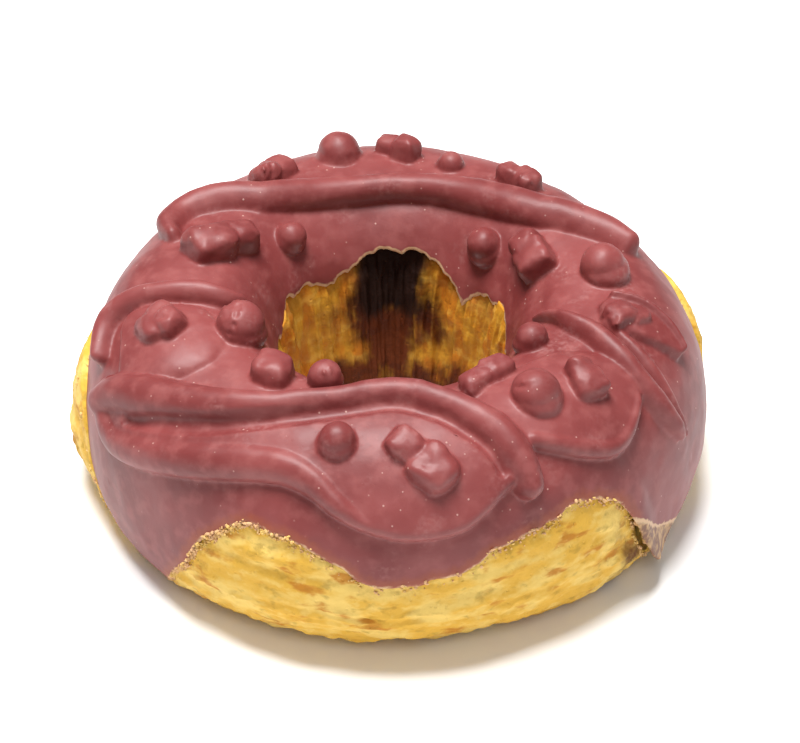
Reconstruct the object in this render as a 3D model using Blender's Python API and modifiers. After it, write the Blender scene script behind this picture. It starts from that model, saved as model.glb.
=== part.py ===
"""A glazed ring doughnut: a plump yellow ring of dough under a thick, wavy-edged icing with piped ribbons,
pearls and crumbs set in it.

Metres, +Z up. The doughnut rests on z = 0, its front faces -Y and its outline is centred on the Z axis.
A place on the ring is two angles in degrees: the azimuth round the hole (0 is +X, 90 the back, 270 the front)
and the tube angle round the ring's section (0 outermost, 90 on the crown, 180 in the hole, -90 underneath).
"""

import math
import random

import bmesh
import bpy
from mathutils import Matrix, Vector
from mathutils.bvhtree import BVHTree
from mathutils.kdtree import KDTree

MM = 0.001

# Driving sizes of the iced ring's section, and where the middle of its hole stands
RING_CENTRE = (0.325 * MM, -0.915 * MM)
CROWN_RADIUS = 28.0 * MM
OUTER_REACH = 17.0 * MM
INNER_REACH = 12.5 * MM
HEIGHT = 33.5 * MM
WAIST_HEIGHT = 11.5 * MM
UNDER_DROP = 13.5 * MM
OUTER_SQUARENESS = 2.4
INNER_SQUARENESS = 2.2
UNDER_SQUARENESS = 1.9
HOLE_FOOT_SQUARENESS = 3.4
HOLE_FOOT_LEAN = 5.0 * MM

# How the ring departs from a circle: share of the radius for each number of lobes, as (cosine, sine)
PLAN_LOBES = {2: (-0.018, -0.008), 3: (0.012, -0.014), 4: (0.017, 0.0)}
CROWN_LOBES = {2: (0.3 * MM, 0.2 * MM), 3: (-0.2 * MM, 0.3 * MM)}
HOLE_RADIUS = 14.0 * MM
PLAN_FADE = 20.0 * MM
FRONT_RIM_EASE, FRONT_RIM_SPREAD = 0.9 * MM, 55
HAUNCHES = [(214, 26, 0.7), (323, 22, 0.9)]

# Icing and the gap under it
ICING = 1.2 * MM
ICING_EDGE_SHARE = 0.5
GAP = 0.35 * MM
SINK = 0.5 * MM

# The icing's two edges: (azimuth, tube angle) in degrees
LOWER_EDGE = [
    (3, 8), (8, 26), (16, 34), (24, 24), (36, -4), (54, -14), (74, 14), (92, -8), (112, 18), (132, -14),
    (152, 6), (168, 16), (182, 18), (192, 8), (200, -14), (208, -34), (215, -42), (222, -36), (229, -8), (236, 13),
    (244, 24), (252, 24), (262, 14), (271, 8), (281, 12), (292, 19), (305, 24), (314, 19), (321, 3), (327, -26),
    (333, -42), (345, -34), (357, -12),
]
HOLE_EDGE = [
    (0, 160), (14, 151), (28, 149), (42, 153), (50, 158), (58, 153), (68, 144), (88, 140), (104, 143),
    (114, 150), (124, 151), (140, 148), (152, 149), (160, 156), (180, 158), (210, 150), (240, 146),
    (270, 150), (300, 146), (330, 152),
]

# Where the icing's lower edge curls out: azimuth, spread, reach
LIPS, LIP_ROWS = [(329, 6, 2.6 * MM), (217, 12, 0.9 * MM)], 3

# The bare dough: how far it stands back from the icing's outer form, where it bulges (azimuth, spread, tube
# angle, spread, reach), its recess under the far lip of the hole, and the folds down the hole's wall
BARE_INSET = 0.7 * MM
BULGES = [(180, 14, -12, 34, 2.8 * MM), (13, 12, 14, 34, 2.0 * MM), (112, 12, 0, 40, 0.8 * MM)]
RECESS = (88, 26, 146, 22, 1.6 * MM)
FOLDS, FOLD_DEPTH = 13, 0.5 * MM
UNDERSIDE_TUBE = 262

# Mesh divisions
ICING_AZIMUTHS, ICING_ROWS = 80, 14
DOUGH_AZIMUTHS, DOUGH_ROWS = 64, 8
BARE_STEPS = [0.03, 0.12, 0.25, 0.38, 0.5, 0.62, 0.75, 0.88, 0.97]

# Piped ribbons: the top in mm, then knots of (azimuth, tube angle, half width in mm)
RIBBONS = {
    "back": (2.2, [
        (160, 58, 1.2), (148, 56, 1.9), (143, 72, 2.3), (135, 89, 2.3), (121, 101, 2.1), (104, 106, 1.7),
        (86, 106, 1.6), (72, 105, 1.7), (59, 103, 1.9), (43, 97, 2.3), (29, 84, 2.5), (21, 69, 2.5), (12, 60, 2.1),
    ]),
    "left": (1.8, [
        (200, 20, 1.1), (191, 36, 1.5), (184, 53, 1.9), (183, 68, 2.0), (184, 82, 2.0), (186, 95, 1.7), (187, 112, 1.2),
    ]),
    "front": (2.4, [
        (205, 32, 3.2), (212, 48, 3.6), (221, 58, 3.4), (233, 68, 2.8), (243, 78, 2.2), (252, 84, 1.9),
        (263, 88, 1.8), (275, 89, 1.8), (285, 83, 2.1), (291, 70, 2.5), (294, 57, 2.6), (296, 46, 2.4), (297, 38, 2.3),
    ]),
    "loop": (1.6, [
        (208, 30, 2.2), (212, 21, 2.7), (221, 20, 2.4), (231, 31, 2.3), (240, 40, 2.5), (248, 45, 3.0), (256, 45, 3.4),
    ]),
    "right": (1.9, [
        (346, 118, 1.0), (341, 102, 1.6), (337, 88, 1.9), (335, 73, 2.1), (334, 58, 2.0), (334, 42, 1.7), (334, 27, 1.1),
    ]),
}
RIBBON_RESOLUTION, RIBBON_STEP = 2, 3.4 * MM
END_BLUNTNESS, END_STEP = 0.12, 0.4
PUDDLE_DEPTH = 2.5

# Puddles where icing ran together: (azimuth, tube angle, turn in degrees), half length, half width, top in mm
PUDDLES = {
    "front": ((270, 51, -4), 15.0, 8.6, 1.3),
    "right": ((316, 64, -28), 12.5, 8.0, 1.3),
}

# Pearls: (azimuth, tube angle, radius in mm, height of the centre above the icing in mm)
PEARLS = [
    (103, 77, 3.3, 0.4), (73, 85, 2.1, 0.4), (135, 121, 2.1, 0.7), (45, 127, 2.4, 0.6), (4, 86, 3.4, 0.9),
    (206, 105, 3.6, 0.9), (326, 107, 2.3, 0.8), (306, 77, 3.4, 1.6), (249, 102, 2.2, 1.3), (259, 68, 2.5, 1.6),
]

# Crumbs: (azimuth, tube angle, turn in degrees), then lumps of (along, across, half length, half width, height) in mm
CRUMBS = [
    ((123, 80, 10), [(-1.7, 0, 2.6, 2.2, 2.4), (1.9, 0.4, 2.3, 2.0, 2.9)]),
    ((88, 79, -25), [(-1.5, 0.4, 2.2, 1.9, 3.6), (1.6, -0.2, 2.5, 1.8, 2.2)]),
    ((52, 82, -8), [(-1.4, 0, 2.3, 2.0, 2.7), (1.6, 0.2, 2.0, 1.9, 2.5)]),
    ((161, 99, -6), [(-3.2, 0.2, 3.3, 2.6, 2.1), (2.8, -0.1, 3.8, 3.0, 2.4)]),
    ((200, 75, 20), [(0, 0, 3.2, 3.1, 2.4), (1.5, 1.2, 1.9, 1.7, 2.9)]),
    ((233, 95, 15), [(0, 0, 3.1, 2.6, 2.8)]),
    ((20, 117, 12), [(-1.0, 0, 2.6, 2.6, 2.5), (1.5, 0.4, 2.4, 2.1, 2.9)]),
    ((348, 67, -35), [(-1.8, 0.6, 2.6, 2.6, 1.9), (2.0, 0.5, 3.0, 2.4, 1.6)]),
    ((300, 97, 8), [(-1.4, 0.2, 3.0, 1.8, 2.2), (2.2, 0.3, 2.4, 1.7, 2.1)]),
    ((319, 71, 70), [(-1.1, 0, 2.1, 2.2, 2.4), (1.3, 0, 2.0, 2.2, 2.5)]),
    ((276, 61, -50), [(-2.4, 0, 2.8, 2.3, 3.4), (2.4, 0.2, 3.2, 2.9, 3.4)]),
]
CRUMB_JITTER = 0.14
SEED = 7


def bump(azimuth, centre, spread):
    """1 at the centre azimuth, falling smoothly to 0 far from it; all in degrees."""
    away = (azimuth - centre + 180) % 360 - 180
    return math.exp(-((away / spread) ** 2))


def patch(azimuth, tube, centre, spread, tube_centre, tube_spread, size):
    """A soft mound of the given size round one place on the ring."""
    return size * bump(azimuth, centre, spread) * bump(tube, tube_centre, tube_spread)


def lobes(azimuth, table):
    angle = math.radians(azimuth)
    return sum(c * math.cos(k * angle) + s * math.sin(k * angle) for k, (c, s) in table.items())


def round_the_ring(knots, azimuth):
    """A smooth closed curve through (azimuth, value) knots, read at one azimuth (Catmull-Rom)."""
    azimuth %= 360
    count = len(knots)
    after = next((i for i, (a, _) in enumerate(knots) if a > azimuth), 0)
    a, b = knots[(after - 1) % count], knots[after]
    before, beyond = knots[(after - 2) % count], knots[(after + 1) % count]
    span = (b[0] - a[0]) % 360
    t = ((azimuth - a[0]) % 360) / span
    slope_a = (b[1] - before[1]) / ((b[0] - before[0]) % 360) * span
    slope_b = (beyond[1] - a[1]) / ((beyond[0] - a[0]) % 360) * span
    t2, t3 = t * t, t * t * t
    return (
        (2 * t3 - 3 * t2 + 1) * a[1] + (t3 - 2 * t2 + t) * slope_a + (3 * t2 - 2 * t3) * b[1] + (t3 - t2) * slope_b
    )


def ring_point(azimuth, tube, inset=0.0):
    """A point on the iced ring's outer form, moved in by inset."""
    c, s = math.cos(math.radians(tube)), math.sin(math.radians(tube))
    outer = c >= 0
    reach = OUTER_REACH if outer else INNER_REACH - FRONT_RIM_EASE * bump(azimuth, 270, FRONT_RIM_SPREAD)
    if s >= 0:
        rise = HEIGHT + lobes(azimuth, CROWN_LOBES) - WAIST_HEIGHT
        power = 2 / (OUTER_SQUARENESS if outer else INNER_SQUARENESS)
    else:
        rise = UNDER_DROP
        haunch = sum(size * bump(azimuth, centre, spread) for centre, spread, size in HAUNCHES)
        power = 2 / (UNDER_SQUARENESS + haunch if outer else HOLE_FOOT_SQUARENESS)
        reach += 0 if outer else HOLE_FOOT_LEAN * abs(s) ** power
    reach, rise = reach - inset, rise - inset
    radius = CROWN_RADIUS + math.copysign(reach * abs(c) ** power, c)
    height = WAIST_HEIGHT + math.copysign(rise * abs(s) ** power, s)
    fade = min(1.0, max(0.0, (radius - HOLE_RADIUS) / PLAN_FADE))
    radius *= 1 + lobes(azimuth, PLAN_LOBES) * fade
    angle = math.radians(azimuth)
    x, y = RING_CENTRE
    return Vector((x + radius * math.cos(angle), y + radius * math.sin(angle), max(height, 0.0)))


def ring_frame(azimuth, tube):
    """The point, and the directions round the hole, up the section and out of the icing there."""
    step = 0.5
    point = ring_point(azimuth, tube)
    along = (ring_point(azimuth + step, tube) - ring_point(azimuth - step, tube)).normalized()
    up = (ring_point(azimuth, tube + step) - ring_point(azimuth, tube - step)).normalized()
    out = along.cross(up).normalized()
    return point, along, out.cross(along), out


def covered_tube(azimuth, share):
    """The tube angle at a share of the way over the icing, from its lower edge to its edge in the hole."""
    low, high = round_the_ring(LOWER_EDGE, azimuth), round_the_ring(HOLE_EDGE, azimuth)
    return low + (high - low) * share


def clear_scene():
    for obj in list(bpy.data.objects):
        bpy.data.objects.remove(obj)


def collection(name):
    made = bpy.data.collections.new(name)
    bpy.context.scene.collection.children.link(made)
    return made


def move_to(obj, home):
    for old in list(obj.users_collection):
        old.objects.unlink(obj)
    home.objects.link(obj)


def material(name, colour, roughness, coat=0.0):
    made = bpy.data.materials.new(name)
    made.use_nodes = True
    shader = made.node_tree.nodes["Principled BSDF"]
    shader.inputs["Base Color"].default_value = (*colour, 1)
    shader.inputs["Roughness"].default_value = roughness
    shader.inputs["Metallic"].default_value = 0.0
    shader.inputs["Coat Weight"].default_value = coat
    return made


def torus(name, azimuths, rows, home):
    """A torus primitive whose vertices run row by row round the tube at each azimuth."""
    bpy.ops.mesh.primitive_torus_add(
        major_segments=azimuths, minor_segments=rows, major_radius=CROWN_RADIUS, minor_radius=INNER_REACH
    )
    obj = bpy.context.object
    obj.name = name
    move_to(obj, home)
    return obj


def bare_inset(azimuth, tube):
    """How far the uncovered dough stands in from the iced form: bulges outside, folds and a recess in the hole."""
    bulge = sum(patch(azimuth, tube, *sizes) for sizes in BULGES)
    inward = max(0.0, -math.cos(math.radians(tube)))
    fold = math.sin(FOLDS * math.radians(azimuth)) + 0.6 * math.sin((FOLDS - 5) * math.radians(azimuth) + 1.0)
    return BARE_INSET - bulge + patch(azimuth, tube, *RECESS) + FOLD_DEPTH * fold * inward


def bare_tube(azimuth, share):
    """The tube angle at a share of the way under the ring, from the icing's edge in the hole to its lower edge."""
    start, end = covered_tube(azimuth, 1), covered_tube(azimuth, 0) + 360
    pull = UNDERSIDE_TUBE - (start + end) / 2
    return start + (end - start) * share + pull * 4 * share * (1 - share)


def make_dough(home):
    """The ring of dough: plain where the icing hides it, with its own form where it is bare."""
    rows = DOUGH_ROWS + len(BARE_STEPS)
    obj = torus("dough", DOUGH_AZIMUTHS, rows, home)
    for vertex in obj.data.vertices:
        azimuth, row = vertex.index // rows * 360 / DOUGH_AZIMUTHS, vertex.index % rows
        if row < DOUGH_ROWS:
            vertex.co = ring_point(azimuth, covered_tube(azimuth, row / (DOUGH_ROWS - 1)), ICING + GAP)
            continue
        tube = bare_tube(azimuth, BARE_STEPS[row - DOUGH_ROWS])
        vertex.co = ring_point(azimuth, tube, bare_inset(azimuth, tube))
    obj.data.update()
    return obj


def make_skin(home):
    """The icing's outer surface, an open band that thins towards both edges and curls out at its lips."""
    obj = torus("icing", ICING_AZIMUTHS, ICING_ROWS, home)
    thickness = obj.vertex_groups.new(name="thickness")
    bm = bmesh.new()
    bm.from_mesh(obj.data)
    bm.verts.ensure_lookup_table()
    wrap = [f for f in bm.faces if {0, ICING_ROWS - 1} <= {v.index % ICING_ROWS for v in f.verts}]
    bmesh.ops.delete(bm, geom=wrap, context="FACES")
    shares = {}
    for vertex in bm.verts:
        azimuth, row = vertex.index // ICING_ROWS * 360 / ICING_AZIMUTHS, vertex.index % ICING_ROWS
        shares[vertex.index] = ICING_EDGE_SHARE if row in (0, ICING_ROWS - 1) else 1.0
        tube = covered_tube(azimuth, row / (ICING_ROWS - 1))
        vertex.co = ring_point(azimuth, tube, ICING * (1 - shares[vertex.index]))
        curl = sum(reach * bump(azimuth, centre, spread) for centre, spread, reach in LIPS)
        vertex.co += ring_frame(azimuth, 0)[3] * curl * max(0.0, 1 - row / LIP_ROWS) ** 2
    bm.to_mesh(obj.data)
    bm.free()
    for index, share in shares.items():
        thickness.add([index], share, "REPLACE")
    return obj


def settle(obj, skin):
    """Beds a piece in the icing: what would lie deeper than SINK is brought up to it."""
    for vertex in obj.data.vertices:
        spot, out, _, _ = skin.find_nearest(vertex.co)
        vertex.co = spot + out * max((vertex.co - spot).dot(out), -SINK)
    obj.data.update()


def drape(obj, skin, route, top):
    """Lays a tube along its route on the icing: its width is kept, and its height levels off at its top."""
    middle = KDTree(len(route))
    for number, place in enumerate(route):
        middle.insert(place, number)
    middle.balance()
    for vertex in obj.data.vertices:
        centre = middle.find(vertex.co)[0]
        _, out, _, _ = skin.find_nearest(centre)
        height = (vertex.co - centre).dot(out)
        spot, out, _, _ = skin.find_nearest(vertex.co - out * height)
        height = top * math.tanh(height / top) if height > 0 else max(height, -SINK)
        vertex.co = spot + out * height
    obj.data.update()


def bake(obj):
    """Moves an object's place into its mesh."""
    obj.data.transform(obj.matrix_basis)
    obj.matrix_basis = Matrix.Identity(4)


def between(knots, position):
    """The Catmull-Rom point at a position counted in knots along an open run."""
    i = min(int(position), len(knots) - 2)
    t = position - i
    p0, p1, p2, p3 = (knots[min(max(i + k, 0), len(knots) - 1)] for k in (-1, 0, 1, 2))
    return tuple(
        0.5 * (2 * b + (c - a) * t + (2 * a - 5 * b + 4 * c - d) * t * t + (3 * b - a - 3 * c + d) * t**3)
        for a, b, c, d in zip(p0, p1, p2, p3)
    )


def rounded_end(width, distance):
    """The half width at a distance from a ribbon's end, which closes in a half circle."""
    share = min(1.0, END_BLUNTNESS + distance / width)
    return width * math.sqrt(1 - (1 - share) ** 2)


def ribbon(name, top, knots, home, skin):
    """A piped ribbon: a tube along its knots, draped over the icing. A wide one is a flat pool."""
    fine = [between(knots, n / 20) for n in range(20 * (len(knots) - 1) + 1)]
    places = [ring_point(azimuth, tube) for azimuth, tube, _ in fine]
    run = [0.0]
    for before, after in zip(places, places[1:]):
        run.append(run[-1] + (after - before).length)
    widths = [rounded_end(knot[2] * MM, min(done, run[-1] - done)) for knot, done in zip(fine, run)]
    steps = round(run[-1] / RIBBON_STEP)
    first, last = END_STEP * fine[0][2] * MM, run[-1] - END_STEP * fine[-1][2] * MM
    marks = [0.0, first] + [run[-1] * k / steps for k in range(1, steps)] + [last, run[-1]]
    stations = [min(range(len(run)), key=lambda n: abs(run[n] - mark)) for mark in marks]
    curve = bpy.data.curves.new("ribbon_" + name, "CURVE")
    curve.dimensions = "3D"
    curve.bevel_depth = 1.0
    curve.bevel_resolution = RIBBON_RESOLUTION
    curve.use_fill_caps = True
    spline = curve.splines.new("POLY")
    spline.points.add(len(stations) - 1)
    for point, n in zip(spline.points, stations):
        point.co = (*places[n], 1)
        point.radius = widths[n]
    source = bpy.data.objects.new("ribbon_" + name, curve)
    home.objects.link(source)
    mesh = bpy.data.meshes.new_from_object(source.evaluated_get(bpy.context.evaluated_depsgraph_get()))
    home.objects.unlink(source)
    bpy.data.objects.remove(source)
    bm = bmesh.new()
    bm.from_mesh(mesh)
    bmesh.ops.remove_doubles(bm, verts=bm.verts, dist=0.01 * MM)
    bmesh.ops.recalc_face_normals(bm, faces=bm.faces)
    bm.to_mesh(mesh)
    bm.free()
    obj = bpy.data.objects.new("ribbon_" + name, mesh)
    home.objects.link(obj)
    drape(obj, skin, places, top * MM)


def turned_frame(azimuth, tube, turn, lift=0.0):
    """The matrix that lays a piece on the icing: X along the ring, turned about the icing's normal, Z outwards."""
    point, along, up, out = ring_frame(azimuth, tube)
    facing = Matrix((along, up, out)).transposed().to_4x4()
    return Matrix.Translation(point + out * lift) @ facing @ Matrix.Rotation(math.radians(turn), 4, "Z")


def puddle(name, place, half_length, half_width, top, home, skin):
    """A puddle of icing: a ball pressed flat and draped over the ring."""
    bpy.ops.mesh.primitive_uv_sphere_add(segments=28, ring_count=8, radius=MM)
    obj = bpy.context.object
    obj.name = "puddle_" + name
    move_to(obj, home)
    obj.matrix_basis = turned_frame(*place) @ Matrix.Diagonal((half_length, half_width, PUDDLE_DEPTH * top, 1))
    bake(obj)
    drape(obj, skin, [ring_frame(*place[:2])[0]], top * MM)


def pearl(number, azimuth, tube, radius, lift, home, skin):
    bpy.ops.mesh.primitive_uv_sphere_add(segments=12, ring_count=8, radius=radius * MM)
    obj = bpy.context.object
    obj.name = f"pearl_{number}"
    move_to(obj, home)
    obj.matrix_basis = turned_frame(azimuth, tube, 0, lift * MM)
    bake(obj)
    settle(obj, skin)


def lump(name, frame, lump_sizes, chance, home, skin):
    """One broken lump of a crumb: a ball of few sides, knocked out of shape."""
    along, across, half_length, half_width, height = (size * MM for size in lump_sizes)
    bpy.ops.mesh.primitive_ico_sphere_add(subdivisions=2, radius=1.0)
    obj = bpy.context.object
    obj.name = name
    move_to(obj, home)
    for vertex in obj.data.vertices:
        vertex.co *= 1 + chance.uniform(-CRUMB_JITTER, CRUMB_JITTER)
    obj.matrix_basis = (
        frame @ Matrix.Translation((along, across, 0)) @ Matrix.Diagonal((half_length, half_width, height, 1))
    )
    bake(obj)
    settle(obj, skin)


def fuse(obj, relief):
    """Joins all that lies on the icing to it with one Boolean union."""
    union = obj.modifiers.new("fuse", "BOOLEAN")
    union.operation = "UNION"
    union.operand_type = "COLLECTION"
    union.collection = relief
    union.solver = "MANIFOLD"
    with bpy.context.temp_override(object=obj, active_object=obj, selected_objects=[obj]):
        bpy.ops.object.modifier_apply(modifier=union.name)
    for piece in list(relief.objects):
        bpy.data.objects.remove(piece)
    bpy.data.collections.remove(relief)


def drop_scraps(obj):
    """Keeps the largest connected piece of a mesh."""
    bm = bmesh.new()
    bm.from_mesh(obj.data)
    left, pieces = set(bm.verts), []
    while left:
        piece, edge = set(), [left.pop()]
        while edge:
            vertex = edge.pop()
            piece.add(vertex)
            near = [e.other_vert(vertex) for e in vertex.link_edges]
            edge += [v for v in near if v in left]
            left.difference_update(near)
        pieces.append(piece)
    pieces.sort(key=len)
    for piece in pieces[:-1]:
        bmesh.ops.delete(bm, geom=list(piece), context="VERTS")
    bm.to_mesh(obj.data)
    bm.free()


def make_icing(home):
    obj = make_skin(home)
    skin = BVHTree.FromPolygons([v.co.copy() for v in obj.data.vertices], [p.vertices for p in obj.data.polygons])
    shell = obj.modifiers.new("thickness", "SOLIDIFY")
    shell.thickness = ICING
    shell.offset = -1
    shell.use_even_offset = True
    shell.vertex_group = "thickness"
    with bpy.context.temp_override(object=obj, active_object=obj, selected_objects=[obj]):
        bpy.ops.object.modifier_apply(modifier=shell.name)
    relief = collection("relief")
    for name, (top, knots) in RIBBONS.items():
        ribbon(name, top, knots, relief, skin)
    for name, sizes in PUDDLES.items():
        puddle(name, *sizes, relief, skin)
    for number, sizes in enumerate(PEARLS, 1):
        pearl(number, *sizes, relief, skin)
    chance = random.Random(SEED)
    for number, ((azimuth, tube, turn), lumps) in enumerate(CRUMBS, 1):
        frame = turned_frame(azimuth, tube, turn)
        for part, sizes in enumerate(lumps):
            lump(f"crumb_{number}_{part}", frame, sizes, chance, relief, skin)
    fuse(obj, relief)
    drop_scraps(obj)
    return obj


def finish(obj, surface):
    obj.data.materials.clear()
    obj.data.materials.append(surface)
    for polygon in obj.data.polygons:
        polygon.material_index = 0
    obj.data.shade_smooth()
    obj.data.set_sharp_from_angle(angle=math.radians(40))


def main():
    clear_scene()
    doughnut = collection("glazed_doughnut")
    finish(make_dough(doughnut), material("yellow crumb", (0.83, 0.55, 0.12), 0.8))
    finish(make_icing(doughnut), material("rose brown icing", (0.40, 0.10, 0.10), 0.42, coat=0.2))


main()
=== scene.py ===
# %% [markdown]
# # A glazed ring doughnut
#
# The real thing is a baked ring of yellow dough, dipped in a thick rose-brown icing. The icing has run
# together over piped ribbons, sugar pearls and biscuit crumbs, so everything on top is one soft, satin
# skin. The dough shows where the icing stops: in a wavy band in front, at both sides, and in the hole.
#
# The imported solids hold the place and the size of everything. This lesson dresses them: first the form
# of the ring, then the icing, the dough, their finishes, and last the floor, the light and the camera.

# %% Load the frame and the tools
import math
import random

import bmesh
import bpy
import numpy as np
from mathutils import Matrix, Vector, noise
from mathutils.bvhtree import BVHTree
from mathutils.kdtree import KDTree


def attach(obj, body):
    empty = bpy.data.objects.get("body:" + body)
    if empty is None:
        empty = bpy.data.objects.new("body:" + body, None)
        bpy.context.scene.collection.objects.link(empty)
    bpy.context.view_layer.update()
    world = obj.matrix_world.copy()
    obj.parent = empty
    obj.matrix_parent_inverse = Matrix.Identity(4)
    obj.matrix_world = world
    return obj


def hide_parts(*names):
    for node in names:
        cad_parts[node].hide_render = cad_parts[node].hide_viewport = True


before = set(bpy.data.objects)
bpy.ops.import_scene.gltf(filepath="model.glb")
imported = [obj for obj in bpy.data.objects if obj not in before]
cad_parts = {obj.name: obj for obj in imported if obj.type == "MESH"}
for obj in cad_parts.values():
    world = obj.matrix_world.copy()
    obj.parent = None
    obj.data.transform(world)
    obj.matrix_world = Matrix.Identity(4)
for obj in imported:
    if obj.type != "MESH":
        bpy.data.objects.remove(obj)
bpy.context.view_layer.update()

MM = 0.001
SEED = 11


# %% [markdown]
# ## The form of the ring
#
# A doughnut's section isn't a circle: it is fuller at the shoulders, flat underneath, and steep in the
# hole. A superellipse gives that with two numbers, a reach and a squareness. Two angles name every place:
# the azimuth round the hole, and the tube angle round the section, which is 0 outermost, 90 on the crown
# and 180 in the hole. With them the icing, the dough and all that lies on top can be laid out like a map,
# by the same rule as the solids.

# %% The ring's form
RING_CENTRE = (0.325 * MM, -0.915 * MM)
CROWN_RADIUS, OUTER_REACH, INNER_REACH = 28.0 * MM, 17.0 * MM, 12.5 * MM
HEIGHT, WAIST_HEIGHT, UNDER_DROP = 33.5 * MM, 11.5 * MM, 13.5 * MM
OUTER_SQUARENESS, INNER_SQUARENESS, UNDER_SQUARENESS = 2.4, 2.2, 1.9
HOLE_FOOT_SQUARENESS, HOLE_FOOT_LEAN = 3.4, 5.0 * MM
PLAN_LOBES = {2: (-0.018, -0.008), 3: (0.012, -0.014), 4: (0.017, 0.0)}
CROWN_LOBES = {2: (0.3 * MM, 0.2 * MM), 3: (-0.2 * MM, 0.3 * MM)}
HOLE_RADIUS, PLAN_FADE = 14.0 * MM, 20.0 * MM
FRONT, FRONT_RIM_EASE, FRONT_RIM_SPREAD = 270, 0.9 * MM, 55
HAUNCHES = [(214, 26, 0.7), (323, 22, 0.9)]


def bell(angle, centre, spread):
    """1 at the centre angle, falling smoothly to 0 far from it; all in degrees."""
    return np.exp(-((((angle - centre + 180) % 360 - 180) / spread) ** 2))


def ease(value, start, end):
    """0 at the start, 1 at the end, smooth between."""
    share = np.clip((value - start) / (end - start), 0, 1)
    return share * share * (3 - 2 * share)


def lobes(azimuth, table):
    angle = np.radians(azimuth)
    return sum(c * np.cos(k * angle) + s * np.sin(k * angle) for k, (c, s) in table.items())


def ring(azimuth, tube, inset=0.0):
    """Points on the iced ring's outer form, moved in by inset: a row of x, y, z for each pair of angles."""
    azimuth, tube = np.broadcast_arrays(np.asarray(azimuth, float), np.asarray(tube, float))
    c, s = np.cos(np.radians(tube)), np.sin(np.radians(tube))
    outer, upper = c >= 0, s >= 0
    haunch = sum(size * bell(azimuth, centre, spread) for centre, spread, size in HAUNCHES)
    top_power = np.where(outer, 2 / OUTER_SQUARENESS, 2 / INNER_SQUARENESS)
    foot_power = np.where(outer, 2 / (UNDER_SQUARENESS + haunch), 2 / HOLE_FOOT_SQUARENESS)
    power = np.where(upper, top_power, foot_power)
    inner_reach = INNER_REACH - FRONT_RIM_EASE * bell(azimuth, FRONT, FRONT_RIM_SPREAD)
    reach = np.where(outer, OUTER_REACH, inner_reach)
    reach = reach + np.where(outer | upper, 0, HOLE_FOOT_LEAN * np.abs(s) ** power) - inset
    rise = np.where(upper, HEIGHT + lobes(azimuth, CROWN_LOBES) - WAIST_HEIGHT, UNDER_DROP) - inset
    radius = CROWN_RADIUS + np.sign(c) * reach * np.abs(c) ** power
    height = WAIST_HEIGHT + np.sign(s) * rise * np.abs(s) ** power
    fade = np.clip((radius - HOLE_RADIUS) / PLAN_FADE, 0, 1)
    radius = radius * (1 + lobes(azimuth, PLAN_LOBES) * fade)
    angle = np.radians(azimuth)
    x, y = RING_CENTRE
    height = np.maximum(height, 0)
    return np.stack([x + radius * np.cos(angle), y + radius * np.sin(angle), height], axis=-1)


def ring_frame(azimuth, tube):
    """One place on the ring: its point, and the directions along the ring, up the section and out of it."""
    step = 0.5
    shifts = ((0, 0), (step, 0), (-step, 0), (0, step), (0, -step))
    point, east, west, above, below = (Vector(ring(azimuth + a, tube + t)) for a, t in shifts)
    along, up = (east - west).normalized(), (above - below).normalized()
    out = along.cross(up).normalized()
    return point, along, out.cross(along), out


def round_the_ring(knots, azimuth):
    """A smooth closed curve through (azimuth, value) knots, read at any azimuths."""
    at, value = np.array(knots, float).T
    azimuth = np.asarray(azimuth, float) % 360
    b = np.searchsorted(at, azimuth, side="right") % len(at)
    a, before, beyond = (b - 1) % len(at), (b - 2) % len(at), (b + 1) % len(at)
    span = (at[b] - at[a]) % 360
    t = ((azimuth - at[a]) % 360) / span
    slope_a = (value[b] - value[before]) / ((at[b] - at[before]) % 360) * span
    slope_b = (value[beyond] - value[a]) / ((at[beyond] - at[a]) % 360) * span
    t2, t3 = t * t, t * t * t
    ease_a, ease_b = 2 * t3 - 3 * t2 + 1, 3 * t2 - 2 * t3
    return ease_a * value[a] + (t3 - 2 * t2 + t) * slope_a + ease_b * value[b] + (t3 - t2) * slope_b


crown, waist = ring(0, 90) / MM, ring(0, 0) / MM
print("crown at", round(float(crown[2]), 1), "mm, waist radius", round(float(waist[0]), 1), "mm")

# %% [markdown]
# ## Where the icing stops
#
# The icing's two edges are waves, read from knots of azimuth and tube angle. A real edge is also ragged on
# a small scale, where the icing dried on crumbs. A few sines with seeded phases add that without a long
# list of points.

# %% The icing's edges
LOWER_EDGE = [
    (3, 8), (8, 26), (16, 34), (24, 24), (36, -4), (54, -14), (74, 14), (92, -8), (112, 18),
    (132, -14), (152, 6), (168, 16), (182, 18), (192, 8), (200, -14), (208, -34), (215, -42),
    (222, -36), (229, -8), (236, 13), (244, 24), (252, 24), (262, 14), (271, 8), (281, 12),
    (292, 19), (305, 24), (314, 18), (319, 2), (324, -22), (331, -38), (345, -34), (357, -12),
]
HOLE_EDGE = [
    (0, 160), (14, 151), (28, 149), (42, 153), (50, 158), (58, 153), (68, 144), (88, 140),
    (104, 143), (114, 150), (124, 151), (140, 148), (152, 149), (160, 156), (180, 158),
    (210, 150), (240, 146), (270, 150), (300, 146), (330, 152),
]
RAGGED = {"lower": (0.9, (23, 41, 67, 97)), "hole": (1.1, (19, 31, 53, 83))}
EDGE_STEPS = np.arange(0, 360, 0.35)


def ragged(azimuth, kind):
    size, rates = RAGGED[kind]
    chance = random.Random(kind + str(SEED))
    total = 0
    for number, rate in enumerate(rates, 1):
        phase = chance.uniform(0, math.tau)
        total = total + np.sin(np.radians(np.asarray(azimuth) * rate) + phase) / number
    return size * total


def lower_edge(azimuth):
    return round_the_ring(LOWER_EDGE, azimuth) + ragged(azimuth, "lower")


def hole_edge(azimuth):
    return round_the_ring(HOLE_EDGE, azimuth) + ragged(azimuth, "hole")


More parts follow.
